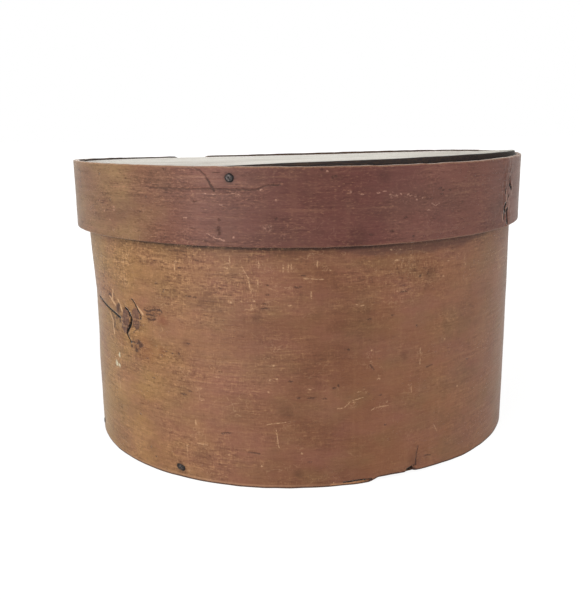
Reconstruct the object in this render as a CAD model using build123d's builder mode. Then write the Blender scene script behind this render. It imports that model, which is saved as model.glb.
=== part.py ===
from build123d import *

import os
from math import cos, degrees, hypot, radians, sin, tan

# A round bentwood pantry box: two bent and lapped wooden hoops, each nailed round a wooden board.
# All lengths are in millimetres and all angles in degrees. The box stands on z = 0 with its axis on
# the Z axis. A bearing is an angle round that axis: 0 is the front (-Y), and +90 the right (+X).

# Base hoop and base board
base_outer_radius = 133.6
base_band_thickness = 4.0
base_band_height = 153.6
base_board_thickness = 12.0

# Lid hoop and lid board
lid_band_thickness = 3.6
lid_band_height = 38.8
lid_board_thickness = 12.0
lid_board_rise = 0.6  # the board's top above the hoop's rim, at the centre
lid_board_tilt_right = 0.80  # the board sits crooked: up on the right
lid_board_tilt_front = 0.67  # and up at the front

# Laps: each strip climbs over its own thinned inner end, and is tacked through both layers there
base_lap_bearing = 160.0  # of the strip's inner end
base_lap_length = 62.0
lid_lap_bearing = 200.0
lid_lap_length = 58.0
climb_length = 28.0  # over which a strip bends outwards before its lap
inner_end_thickness = 0.6  # the feathered end inside
outer_end_thickness = 1.2  # the thinned end that shows outside

# Hand-made iron: the heads of nails and tacks are hammered to a rough round with flat sides
head_sides = 12

# Nails with square tapered shanks, through a hoop into its board
nail_shank_width = 1.7
nail_point_width = 0.6
nail_length = 18.0
nail_head_radius = 2.1
nail_head_flat_radius = 1.1  # the worn top of the head
nail_head_height = 0.9
nail_head_edge = 0.25  # the upright edge of the head
nail_recess = 0.35  # the head is driven this far into the wood
lid_nail_bearings = (-13.4, 86.0, 146.0, 282.0)
lid_nail_depth = 7.2  # below the top of the lid board
base_nail_bearings = (-69.8, -29.3, 86.0, 128.0, 217.0, 256.0)
base_lost_nail_bearing = 28.2  # only its hole is left
base_nail_height = 5.9  # above the foot

# Tacks with square shanks, through a lap, their points bent over inside
tack_width = 1.0
tack_point_width = 0.3
tack_point_length = 1.6
tack_clinch_length = 2.4
tack_head_radius = 1.9
tack_head_flat_radius = 1.0
tack_head_height = 0.7
tack_head_edge = 0.2
tack_end_margin = 8.0  # from a row of tacks to the end of the strip
base_tack_count = 5  # in the row by the outer end; the other row is set between them
base_tack_foot_margin = 22.0  # from the foot to the lowest tack
base_tack_rim_margin = 11.6  # from the highest tack to the rim
lid_tack_count = 2
lid_tack_foot_margin = 6.5  # from the lid hoop's lower edge to the lowest tack
lid_tack_board_margin = 6.4  # from the highest tack to the lid board

# Clearances and worn edges
board_fit = 0.10  # round the edge of a board in its hoop
layer_gap = 0.15  # between the two layers of a lap
iron_fit = 0.06  # round and under every nail and tack
lid_clearance = 0.69  # from the inside of the lid hoop to the base's tack heads
lid_seat_gap = 0.30  # between the lid board and the rim of the base
hoop_edge_wear = 0.5
board_edge_wear = 0.8

# Radii that follow: the lid clears the base's lap and the tack heads on it
base_inner_radius = base_outer_radius - base_band_thickness
base_board_radius = base_inner_radius - board_fit
base_widest_radius = (
    base_outer_radius + layer_gap + outer_end_thickness + iron_fit + tack_head_height
)
lid_inner_radius = base_widest_radius + lid_clearance
lid_outer_radius = lid_inner_radius + lid_band_thickness
lid_board_radius = lid_inner_radius - board_fit

# Heights that follow: the lowest side of the crooked lid board sits on the rim of the base
slope_right = tan(radians(lid_board_tilt_right))
slope_front = tan(radians(lid_board_tilt_front))
steepest_slope = hypot(slope_right, slope_front)
lid_board_upright = lid_board_thickness * hypot(1, steepest_slope)
lid_board_drop = steepest_slope * base_outer_radius
lid_board_centre = base_band_height + lid_seat_gap + lid_board_drop + lid_board_upright
lid_rim_height = lid_board_centre - lid_board_rise
lid_foot_height = lid_rim_height - lid_band_height


def outwards(bearing):
    """The direction that points away from the axis at a bearing."""
    return Vector(sin(radians(bearing)), -cos(radians(bearing)), 0)


def radial_plane(bearing, radius, height):
    """A plane on a hoop's surface. Its Z points out of the wood and its X points up."""
    out = outwards(bearing)
    return Plane(origin=out * radius + Vector(0, 0, height), x_dir=(0, 0, 1), z_dir=out)


def lid_board_top(bearing):
    """The height of the crooked lid board's top at its edge."""
    edge = outwards(bearing) * lid_board_radius
    return lid_board_centre + slope_right * edge.X - slope_front * edge.Y


def lap_levels(thickness, share):
    """Heights above the inside of the hoop at a share of the lap: the inner layer's outer face, and
    the outer layer's two faces."""
    inner = inner_end_thickness + (thickness - inner_end_thickness) * share
    outer = thickness - (thickness - outer_end_thickness) * share
    return inner, inner + layer_gap, inner + layer_gap + outer


def lapped_strip(inner_radius, thickness, lap_bearing, lap_length):
    """The outline of a strip bent once round, climbing over its own feathered inner end."""
    lap_turn = degrees(lap_length / inner_radius)
    climb_turn = degrees(climb_length / inner_radius)
    body_turn = 360 - climb_turn
    inner_start = lap_bearing - 90  # CenterArc counts its angles from +X

    def at(turn, level):
        return outwards(lap_bearing + turn) * (inner_radius + level)

    def climb(low, high):
        return at(-climb_turn, low), at(-climb_turn / 2, (low + high) / 2), at(0, high)

    def along_lap(face):
        return [at(lap_turn * share, lap_levels(thickness, share)[face]) for share in (0, 0.5, 1)]

    scarf, under, top = (along_lap(face) for face in range(3))
    start_under, start_top = lap_levels(thickness, 0)[1:]
    with BuildSketch() as strip:
        with BuildLine():
            CenterArc((0, 0), inner_radius, inner_start, body_turn)
            ThreePointArc(*climb(0, start_under))
            ThreePointArc(*under)
            Line(under[-1], top[-1])
            ThreePointArc(*top)
            ThreePointArc(*climb(thickness, start_top))
            CenterArc(
                (0, 0), inner_radius + thickness, inner_start + lap_turn, body_turn - lap_turn
            )
            ThreePointArc(*scarf)
            Line(scarf[0], at(0, 0))
        make_face()
    return strip.sketch


def worn_rims(hoop, outer_radius):
    """The long outer edges of a hoop, above and below, up to its climb and its lap."""
    round_edges = hoop.edges().filter_by(GeomType.CIRCLE)
    return round_edges.filter_by(lambda edge: abs(edge.radius - outer_radius) < layer_gap / 2)


def head(radius, flat_radius, height, edge_height, seat):
    """The hammered head of a nail or tack, slanting up to its worn top, on a seat along Z."""
    with BuildPart() as made:
        with BuildSketch(Plane.XY.offset(seat)):
            RegularPolygon(radius, head_sides)
        extrude(amount=edge_height)
        with BuildSketch(Plane.XY.offset(seat + edge_height)):
            RegularPolygon(radius, head_sides)
        with BuildSketch(Plane.XY.offset(seat + height)):
            RegularPolygon(flat_radius, head_sides)
        loft(ruled=True)
    return made.part


def tapered_shank(fit):
    """A nail's square shank along -Z, grown by a fit on every side."""
    with BuildPart() as made:
        with BuildSketch(Plane.XY.offset(-nail_recess)):
            Rectangle(nail_shank_width + 2 * fit, nail_shank_width + 2 * fit)
        with BuildSketch(Plane.XY.offset(-nail_length - fit)):
            Rectangle(nail_point_width + 2 * fit, nail_point_width + 2 * fit)
        loft(ruled=True)
    return made.part


def lap_place(inner_radius, thickness, lap_bearing, lap_length, share):
    """The bearing and the outer radius at a share of the lap, and the grip of a tack there."""
    bearing = lap_bearing + share * degrees(lap_length / inner_radius)
    grip = lap_levels(thickness, share)[2]
    return bearing, inner_radius + grip, grip


def tack_rows(lap, count, lowest, highest):
    """For each of a lap's two rows, the grip of its tacks and the planes that they are driven in."""
    spacing = (highest - lowest) / (count - 1)
    outer_row = [lowest + spacing * number for number in range(count)]
    inner_row = [height + spacing / 2 for height in outer_row[:-1]]
    margin_share = tack_end_margin / lap[-1]
    rows = []
    for share, heights in ((1 - margin_share, outer_row), (margin_share, inner_row)):
        bearing, radius, grip = lap_place(*lap, share)
        rows.append((grip, [radial_plane(bearing, radius, height) for height in heights]))
    return rows


def clinched_tack(grip):
    """A tack through a lap as thick as the grip. Past the wood it bends down along -X."""
    bend_radius = iron_fit + tack_width / 2
    clinch_depth = -grip - bend_radius
    clinch_end = -bend_radius - tack_clinch_length
    with BuildPart() as made:
        add(head(tack_head_radius, tack_head_flat_radius, tack_head_height, tack_head_edge, iron_fit))
        with BuildLine() as route:
            Line((0, 0, iron_fit), (0, 0, -grip))
            TangentArc((0, 0, -grip), (-bend_radius, 0, clinch_depth), tangent=(0, 0, -1))
            Line((-bend_radius, 0, clinch_depth), (clinch_end, 0, clinch_depth))
        with BuildSketch(Plane.XY.offset(iron_fit)):
            Rectangle(tack_width, tack_width)
        sweep(path=route.line)
        point_plane = Plane(origin=(clinch_end, 0, clinch_depth), x_dir=(0, 0, 1), z_dir=(-1, 0, 0))
        with BuildSketch(point_plane):
            Rectangle(tack_width, tack_width)
        with BuildSketch(point_plane.offset(tack_point_length)):
            Rectangle(tack_point_width, tack_point_width)
        loft(ruled=True)
    return made.part


# Laps, and the places of the iron that goes through the wood
base_lap = (base_inner_radius, base_band_thickness, base_lap_bearing, base_lap_length)
lid_lap = (lid_inner_radius, lid_band_thickness, lid_lap_bearing, lid_lap_length)
base_tack_rows = tack_rows(
    base_lap, base_tack_count, base_tack_foot_margin, base_band_height - base_tack_rim_margin
)
lid_tack_rows = tack_rows(
    lid_lap,
    lid_tack_count,
    lid_foot_height + lid_tack_foot_margin,
    base_band_height + lid_seat_gap - lid_tack_board_margin,
)
base_nail_places = [(bearing, base_outer_radius) for bearing in base_nail_bearings]
base_nail_places.append(lap_place(*base_lap, 0.5)[:2])
base_nail_planes = [
    radial_plane(bearing, radius, base_nail_height) for bearing, radius in base_nail_places
]
base_lost_nail_plane = radial_plane(base_lost_nail_bearing, base_outer_radius, base_nail_height)
lid_nail_places = [(bearing, lid_outer_radius) for bearing in lid_nail_bearings]
lid_nail_places.append(lap_place(*lid_lap, 0.5)[:2])
lid_nail_planes = [
    radial_plane(bearing, radius, lid_board_top(bearing) - lid_nail_depth)
    for bearing, radius in lid_nail_places
]

# A nail, and the hole that it takes
with BuildPart() as nail:
    add(head(nail_head_radius, nail_head_flat_radius, nail_head_height, nail_head_edge, -nail_recess))
    add(tapered_shank(0))

with BuildPart() as nail_hole:
    with BuildSketch(Plane.XY.offset(-nail_recess - iron_fit)):
        RegularPolygon(nail_head_radius + iron_fit, head_sides)
    extrude(amount=nail_head_height)
    add(tapered_shank(iron_fit))

tack_hole_width = tack_width + 2 * iron_fit

# Base hoop
with BuildPart() as base_band:
    with BuildSketch():
        add(lapped_strip(*base_lap))
    extrude(amount=base_band_height)
    chamfer(worn_rims(base_band, base_outer_radius), hoop_edge_wear)
    with Locations(*base_nail_planes, base_lost_nail_plane):
        add(nail_hole.part, mode=Mode.SUBTRACT)
    for grip, planes in base_tack_rows:
        with Locations(*planes):
            Box(tack_hole_width, tack_hole_width, 4 * grip, mode=Mode.SUBTRACT)

# Base board
with BuildPart() as base_board:
    with BuildSketch():
        Circle(base_board_radius)
    extrude(amount=base_board_thickness)
    with Locations(*base_nail_planes, base_lost_nail_plane):
        add(nail_hole.part, mode=Mode.SUBTRACT)

# Lid hoop
with BuildPart() as lid_band:
    with BuildSketch(Plane.XY.offset(lid_foot_height)):
        add(lapped_strip(*lid_lap))
    extrude(amount=lid_band_height)
    chamfer(worn_rims(lid_band, lid_outer_radius), hoop_edge_wear)
    with Locations(*lid_nail_planes):
        add(nail_hole.part, mode=Mode.SUBTRACT)
    for grip, planes in lid_tack_rows:
        with Locations(*planes):
            Box(tack_hole_width, tack_hole_width, 4 * grip, mode=Mode.SUBTRACT)

# Lid board: upright at its edge, with a slanting top and underside
with BuildPart() as lid_board:
    top_plane = Plane(origin=(0, 0, lid_board_centre), z_dir=(-slope_right, slope_front, 1))
    with BuildSketch(Plane.XY.offset(lid_foot_height)):
        Circle(lid_board_radius)
    extrude(amount=lid_band_height + lid_board_thickness)
    split(bisect_by=top_plane, keep=Keep.BOTTOM)
    split(bisect_by=top_plane.offset(-lid_board_thickness), keep=Keep.TOP)
    chamfer(lid_board.faces().sort_by(Axis.Z)[-1].edges(), board_edge_wear)
    with Locations(*lid_nail_planes):
        add(nail_hole.part, mode=Mode.SUBTRACT)

# Nails and tacks, as groups of separate solids
with BuildPart() as base_board_nails:
    with Locations(*base_nail_planes):
        add(nail.part)

with BuildPart() as lid_board_nails:
    with Locations(*lid_nail_planes):
        add(nail.part)

with BuildPart() as base_lap_tacks:
    for grip, planes in base_tack_rows:
        one_tack = clinched_tack(grip)
        with Locations(*planes):
            add(one_tack)

with BuildPart() as lid_lap_tacks:
    for grip, planes in lid_tack_rows:
        one_tack = clinched_tack(grip)
        with Locations(*planes):
            add(one_tack)

base_band.part.label = "base_band"
base_board.part.label = "base_board"
base_board_nails.part.label = "base_board_nails"
base_lap_tacks.part.label = "base_lap_tacks"
lid_band.part.label = "lid_band"
lid_board.part.label = "lid_board"
lid_board_nails.part.label = "lid_board_nails"
lid_lap_tacks.part.label = "lid_lap_tacks"

os.makedirs("parts", exist_ok=True)
export_step(base_band.part, "parts/base_band.step")
export_step(base_board.part, "parts/base_board.step")
export_step(base_board_nails.part, "parts/base_board_nails.step")
export_step(base_lap_tacks.part, "parts/base_lap_tacks.step")
export_step(lid_band.part, "parts/lid_band.step")
export_step(lid_board.part, "parts/lid_board.step")
export_step(lid_board_nails.part, "parts/lid_board_nails.step")
export_step(lid_lap_tacks.part, "parts/lid_lap_tacks.step")
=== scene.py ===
from functools import reduce
from math import cos, degrees, pi, radians, sin, tan

import bmesh
import bpy
import numpy as np
from mathutils import Matrix, Vector


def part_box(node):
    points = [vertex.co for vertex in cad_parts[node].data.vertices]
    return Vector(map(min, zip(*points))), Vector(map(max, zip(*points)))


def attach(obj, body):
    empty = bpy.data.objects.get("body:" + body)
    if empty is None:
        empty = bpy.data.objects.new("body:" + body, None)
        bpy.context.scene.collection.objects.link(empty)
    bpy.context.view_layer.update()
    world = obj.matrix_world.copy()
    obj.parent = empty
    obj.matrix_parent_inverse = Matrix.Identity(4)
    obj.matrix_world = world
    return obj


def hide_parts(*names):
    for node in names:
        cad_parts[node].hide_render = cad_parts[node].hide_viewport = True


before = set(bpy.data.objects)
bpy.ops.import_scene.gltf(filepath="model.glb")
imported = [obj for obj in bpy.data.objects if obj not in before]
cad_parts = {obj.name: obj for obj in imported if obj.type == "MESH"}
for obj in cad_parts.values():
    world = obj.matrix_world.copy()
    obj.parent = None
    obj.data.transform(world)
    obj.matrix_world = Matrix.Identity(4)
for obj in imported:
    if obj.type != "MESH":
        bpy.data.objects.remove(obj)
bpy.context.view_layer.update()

# An old round bentwood pantry box. Lengths are in millimetres, and each mesh is made in metres at its
# end. A bearing is an angle in degrees round the box's axis: 0 is the front (-Y), and +90 the right (+X).
MM = 0.001


def corners(node):
    """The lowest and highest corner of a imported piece."""
    low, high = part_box(node)
    return np.array(low) / MM, np.array(high) / MM


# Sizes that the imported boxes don't tell: how thin a strip's ends are and how far it climbs over itself,
# and how the lid board lies in its hoop
board_fit = 0.10
layer_gap = 0.15
inner_end = 0.6
outer_end = 1.2
climb_length = 28.0
lid_board_thickness = 12.0
lid_board_rise = 0.6
lid_board_tilt_right = 0.80
lid_board_tilt_front = 0.67

# The wood has moved with age. Both hoops are out of round alike, and the base sits a little to the
# right. The lid's hoop is tipped up at its right side, and bent like a saddle.
base_shift = 1.26
base_lean = 0.34
base_taper = 0.4
lid_tip = 0.59
lid_saddle_cosine = 0.88
lid_saddle_sine = 0.87


def smooth(share):
    """A share from 0 to 1 that starts and ends gently."""
    share = np.clip(share, 0, 1)
    return share * share * (3 - 2 * share)


def between(value, low, high):
    """How far a value has gone from low to high, from 0 to 1, starting and ending gently."""
    return smooth((value - low) / (high - low))


def uneven(across, up, seed):
    """Smooth random values from -1 to 1 over a plane, about one unit apart."""
    columns, rows = 97, 89
    table = np.random.default_rng(seed).uniform(-1, 1, (columns, rows))
    column, row = np.floor(across).astype(int), np.floor(up).astype(int)
    right, above = smooth(across - column), smooth(up - row)

    def along_row(row):
        here, beside = table[column % columns, row % rows], table[(column + 1) % columns, row % rows]
        return here * (1 - right) + beside * right

    return along_row(row) * (1 - above) + along_row(row + 1) * above


def out_of_round(bearing):
    """A hoop's radius at a bearing, as a share of the true circle's."""
    turn = np.radians(bearing)
    return 1 - 0.0084 * np.sin(2 * turn) + 0.0036 * np.cos(3 * turn) - 0.0073 * np.sin(3 * turn)


def spaced(start, end, step, finer=()):
    """Places from start to end, a step apart, and closer in each finer stretch (from, to, step)."""
    places = [start]
    while places[-1] < end:
        here = places[-1]
        paces = [pace for low, high, pace in finer if low <= here < high]
        places.append(here + min(paces, default=step))
    places[-1] = end
    return np.array(places)


class Hoop:
    """A bent strip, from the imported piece: its radii, its heights and the bearings of its ends."""

    def __init__(self, node, board_node, lap_bearing, lap_length):
        low, high = corners(node)
        self.outer = high[0]
        self.inner = corners(board_node)[1][0] + board_fit
        self.thickness = self.outer - self.inner
        self.foot, self.rim = low[2], high[2]
        self.lap_turn = degrees(lap_length / self.inner)
        self.climb_turn = degrees(climb_length / self.inner)
        self.start = lap_bearing - 360
        self.end = lap_bearing + self.lap_turn

    def along(self, bearing):
        """The way along the outside of the strip, from the front."""
        return np.radians(bearing) * self.outer

    def levels(self, bearing):
        """How far the strip's inner and outer faces stand off the inside of the hoop."""
        turn = bearing - self.start
        lifted = inner_end + layer_gap
        over = self.thickness + layer_gap
        marks = (0, self.lap_turn, 360 - self.climb_turn, 360, 360 + self.lap_turn)
        inside = np.interp(turn, marks, (0, 0, 0, lifted, over))
        full = self.thickness
        outside = np.interp(turn, marks, (inner_end, full, full, lifted + full, over + outer_end))
        return inside, outside

    def place(self, bearing, level, height):
        """The point of a bearing, a level over the inside of the hoop, and a height."""
        radius = (self.inner + level) * out_of_round(bearing) + self.bulge(bearing, height)
        turn = np.radians(bearing)
        x = radius * np.sin(turn) + self.shift(height)
        return np.stack([x, -radius * np.cos(turn), height + self.lift(bearing)], -1)

    def bulge(self, bearing, height):
        return np.zeros(np.broadcast(bearing, height).shape)

    def shift(self, height):
        return 0.0

    def lift(self, bearing):
        return 0.0


class BaseHoop(Hoop):
    def board_side(self, height):
        """How far a height is from the end of the hoop that holds its board."""
        return height - self.foot

    def bulge(self, bearing, height):
        """The base narrows to its foot, and its left side bulges under the lid and dips at the knot."""
        taper = base_taper * (height / self.rim - 0.75)
        side = np.exp(-(((bearing + 80) / 22) ** 2))
        dips = np.interp(height, (0, 48, 65, 90, 112, 128, 154), (0, -0.2, -0.9, -0.9, 0.5, 1.3, 0.9))
        return taper + side * dips

    def shift(self, height):
        return base_shift + base_lean * height / self.rim


class LidHoop(Hoop):
    def board_side(self, height):
        return self.rim - height

    def lift(self, bearing):
        """The lid's hoop is warped: its rim and its lower edge rise and fall together."""
        turn = np.radians(bearing)
        saddle = lid_saddle_cosine * np.cos(2 * turn) + lid_saddle_sine * np.sin(2 * turn)
        return lid_tip * np.sin(turn) - saddle


base = BaseHoop("base_band", "base_board", lap_bearing=160, lap_length=62)
lid = LidHoop("lid_band", "lid_board", lap_bearing=200, lap_length=58)

# Marks of age on the base. A line is points (bearing, height). A crack is a line with its width and its
# depth, and a heart is one with its width and its strength. A dash, dot or upright is the bearing and
# height of its middle, and a spot is its middle and its reach. A number alone is how strong a look is,
# apart from two heights: the one that the lid has covered from, and the one of the lid's lower edge.
# The nails are the imported group round whose heads the wood is darkened: iron stain and painted shade.
knot_centre = (-44.5, 82.0)
branch_seam = ((-64.0, 89.0), (-60.0, 87.9), (-56.7, 86.6), (-54.0, 85.2), (-51.6, 84.3), (-48.2, 83.1))
knot_split = ((-43.8, 87.2), (-43.2, 84.6), (-43.5, 82.0), (-44.1, 79.5), (-44.9, 77.2), (-45.4, 75.4))
split_top = ((-45.8, 89.7), (-44.7, 88.8), (-43.8, 87.4))
split_tail = ((-45.4, 75.8), (-45.3, 73.9), (-44.7, 72.1), (-44.1, 70.8))
knot_edge = ((-42.8, 95.2), (-41.9, 93.3), (-41.1, 91.2), (-40.6, 89.5), (-39.7, 86.7), (-39.9, 85.5))
base_cracks = (
    (branch_seam, 1.5, 0.8),
    (knot_split, 1.6, 1.6),
    (split_top, 0.8, 0.5),
    (split_tail, 1.3, 0.8),
    (knot_edge, 0.8, 0.6),
)
foot_crack = ((28.3, 15.6), (27.9, 10.5), (27.6, 4.3))
sliver_gap = ((9.1, 2.2), (11.5, 2.0), (15.9, 1.7))
lost_nail = (27.2, 3.3)
lost_nail_hole = (lost_nail, (25.9, 2.2))
base_marks = {
    "covered from": 130.5,
    "lid edge": lid.foot,
    "knot": knot_centre,
    "red clouds": (((-49.1, 71.3), 9), ((-38.8, 67.8), 12), ((-32.7, 86.5), 5), ((-33.5, 69.6), 5)),
    "rough": (
        ((-36.4, 88.8), 6.6), ((-34.6, 91.2), 5.2), ((-41.8, 69.6), 6.2), ((-53.0, 79.0), 5.4),
        ((-49.6, 88.2), 4.2), ((-53.8, 94.6), 4.4), ((-40.6, 84.0), 4.4),
    ),
    "knot threads": (
        ((-40.6, 85.0), (-40.1, 82.0), (-41.1, 79.7), (-42.5, 77.2)),
        ((-53.7, 84.1), (-52.0, 81.2), (-51.7, 78.3), (-52.5, 75.6)),
        ((-38.6, 91.0), (-36.9, 90.4), (-35.6, 91.6), (-33.6, 92.4), (-32.9, 91.0)),
        ((-37.8, 88.4), (-36.6, 88.9), (-35.2, 88.1)), ((-37.4, 86.6), (-36.2, 85.9), (-34.9, 86.9)),
        ((-44.1, 70.8), (-43.0, 71.5), (-42.1, 70.6), (-41.1, 71.6), (-40.7, 69.6)),
        ((-54.3, 94.4), (-53.2, 93.9)), ((-52.1, 95.9), (-51.2, 94.5)),
    ),
    "hearts": ((((-45.4, 85.4), (-46.1, 78.6)), 4.2, 0.86), (((-41.7, 88.0), (-41.5, 82.0)), 3.3, 0.8)),
    "dull clouds": (((-11, 83), 26), ((13, 86), 22), ((44, 88), 14), ((-14, 46), 15)),
    "light clouds": (((-52, 45), 19), ((-42, 14), 15)),
    "grain": 1.0,
    "crossed": 0.7,
    "scuffs": 0.42,
    "smudges": (
        ((-20.4, 100.4), 8), ((-3.8, 42.5), 6), ((-23.2, 14.0), 8), ((27.3, 8.0), 7), ((-36.2, 73.3), 5),
        ((-28.7, 69.0), 5), ((-26.5, 76.5), 4), ((30.6, 110.4), 5), ((-38.9, 12.6), 6), ((-1.2, 9.0), 4),
        ((23.7, 68.1), 4), ((-9.8, 92.2), 4), ((-51.5, 47.0), 5),
    ),
    "light fibres": (
        ((-49.2, 92.8), (-48.1, 90.4), (-47.2, 87.4)), ((-53.9, 93.1), (-52.2, 91.1), (-50.4, 89.2)),
        ((-52.0, 97.3), (-52.4, 92.3)), ((-54.5, 82.9), (-53.1, 79.6), (-52.7, 72.0)),
        ((-40.8, 91.6), (-39.0, 88.3)),
    ),
    "nails": "base_board_nails",
    "scratches": (
        ((-45.9, 121.5), (-45.7, 101.1)), ((-51.5, 49.3), (-51.1, 38.7)),
        ((-28.6, 118.8), (-28.8, 114.2)), ((-7.9, 35.6), (-5.6, 36.5), (-3.8, 37.1)),
        ((-12.8, 118.1), (-11.4, 112.0), (-11.1, 106.8)), ((-6.0, 32.8), (-5.4, 22.9)),
        ((7.6, 43.5), (8.9, 43.4), (10.8, 47.0), (13.6, 48.2)),
        ((15.5, 40.7), (16.4, 41.8), (19.8, 42.2)), ((33.0, 25.5), (34.1, 21.2)),
        ((-24.6, 21.6), (-22.0, 21.4)), ((-27.4, 19.5), (-27.4, 12.0)), ((0.9, 112.0), (4.6, 111.3)),
        ((57.0, 113.5), (66.0, 114.5)), ((59.0, 108.8), (67.0, 109.4)), ((60.0, 104.0), (66.5, 104.2)),
    ),
    "light dashes": (
        (-15.9, 119.4), (-2.6, 98.5), (0.7, 112.2), (11.9, 97.8), (13.2, 96.9), (23.3, 102.9),
        (21.7, 102.8), (-23.0, 46.2), (-19.0, 59.6), (1.4, 54.6), (11.4, 46.2), (17.3, 57.5),
        (21.3, 118.9), (36.0, 115.5), (34.6, 107.6), (12.6, 51.5), (15.2, 67.3), (-41.6, 59.4),
        (37.9, 116.6),
    ),
    "light dots": (
        (-28.3, 118.9), (-16.0, 117.0), (-15.4, 99.7), (-10.7, 96.4), (-10.7, 98.6), (-10.3, 100.6),
        (-9.3, 12.5), (-7.1, 59.6), (-5.7, 60.1), (-7.5, 53.2), (5.9, 115.9), (24.4, 117.4), (25.1, 51.7),
        (41.1, 43.8), (-0.4, 19.9), (42.5, 112.2), (35.7, 73.1), (15.5, 73.1), (19.4, 44.2), (-6.3, 67.2),
        (6.9, 2.2), (22.1, 124.2), (19.8, 124.4), (-16.8, 17.5),
    ),
    "light uprights": (
        (-15.4, 121.0), (-9.4, 109.5), (-9.1, 119.0), (-4.0, 117.3), (-2.9, 117.2), (-2.3, 118.0),
        (3.2, 119.0), (1.9, 103.6), (42.1, 116.0), (28.2, 69.1), (28.2, 63.0), (25.9, 48.6),
        (-24.8, 33.2), (-52.4, 73.0),
    ),
    "scribbles": (
        ((21.1, 124.2), 3.7), ((25.0, 117.7), 4.3), ((24.4, 113.2), 3.1), ((39.5, 117.1), 3.7),
        ((41.9, 113.3), 3.7), ((35.3, 120.8), 3.1), ((3.2, 119.6), 2.5), ((4.7, 117.0), 3.1),
        ((-1.9, 116.9), 2.5), ((1.7, 111.7), 3.1), ((16.3, 114.1), 2.5), ((23.0, 103.3), 3.1),
        ((13.1, 97.3), 3.1), ((14.0, 95.0), 2.5), ((-48.5, 119.8), 2.5), ((-38.1, 117.3), 3.1),
        ((-16.1, 118.1), 3.7), ((-12.7, 114.7), 3.1), ((-9.0, 119.4), 3.1), ((-7.1, 116.9), 3.1),
        ((-3.4, 118.1), 3.1), ((-15.3, 100.1), 2.5), ((-10.3, 106.8), 2.5), ((-10.6, 97.6), 2.5),
        ((-7.0, 59.3), 2.5), ((-6.8, 66.6), 2.5), ((-23.0, 46.3), 2.5), ((-22.7, 21.9), 2.5),
        ((15.0, 70.7), 3.1), ((15.3, 64.8), 3.1), ((17.1, 57.9), 2.5), ((13.9, 51.6), 2.5),
        ((10.9, 45.3), 4.2), ((17.9, 41.8), 4.2), ((25.5, 50.5), 2.5), ((28.1, 68.0), 3.1),
        ((35.2, 73.1), 3.1), ((33.0, 23.5), 2.5),
    ),
    "lightness": 0.4,
    "chalk": (((-52.3, 54.3), 2.6), ((-50.9, 53.8), 1.8), ((-50.5, 59.9), 1.6), ((-50.4, 61.2), 1.0)),
    "threads": (
        foot_crack, ((30.5, 9.0), (32.2, 8.3)), ((15.2, 65.2), (16.1, 62.7)),
        ((30.1, 59.5), (31.9, 60.2)), ((-12.3, 19.9), (-11.2, 19.8), (-9.8, 19.4)),
    ),
    "slits": (((27.8, 8.0), (27.6, 4.3)),),
    "dashes": (
        (-7.5, 108.7), (-7.4, 103.7), (-7.9, 99.3), (0.3, 113.5), (-21.4, 92.1), (-26.0, 50.2),
        (-34.3, 106.2), (-1.0, 50.1), (4.7, 49.3), (-2.7, 58.9), (1.4, 14.8), (6.9, 54.6), (14.9, 89.5),
        (17.8, 48.5), (44.7, 57.8), (-18.1, 29.2), (-26.0, 76.2), (-38.5, 63.8), (-18.3, 62.5),
        (20.6, 90.5), (-36.6, 53.6), (-23.9, 101.1),
    ),
    "dots": (
        (-37.0, 7.7), (-38.7, 12.5), (-30.4, 69.6), (-32.2, 70.0), (-33.5, 67.3), (10.1, 74.4),
        (7.8, 55.9), (27.1, 83.1), (27.6, 109.5), (-32.2, 102.6), (-17.8, 106.7), (-28.6, 69.9),
        (19.1, 31.6), (-42.2, 29.8),
    ),
    "long dashes": (
        (-17.0, 29.6), (1.9, 49.9), (-27.9, 48.0), (-7.9, 96.9), (-25.5, 101.4), (-0.9, 107.7),
        (23.3, 102.2),
    ),
    "blots": (
        ((-49.2, 87.9), 3.8), ((-48.7, 90.1), 2.2), ((-50.4, 81.8), 1.8), ((-48.5, 81.1), 1.8),
        ((-40.9, 72.0), 2.1), ((-40.2, 70.6), 2.3), ((-42.1, 67.1), 2.2), ((-43.9, 68.6), 1.6),
    ),
    "rubbed": 0.3,
    "sliver": ((6.4, 0.7), (14.6, 0.7)),
    "cracks": [crack[:2] for crack in base_cracks] + [(sliver_gap, 0.62), (lost_nail_hole, 1.8)],
}

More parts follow.
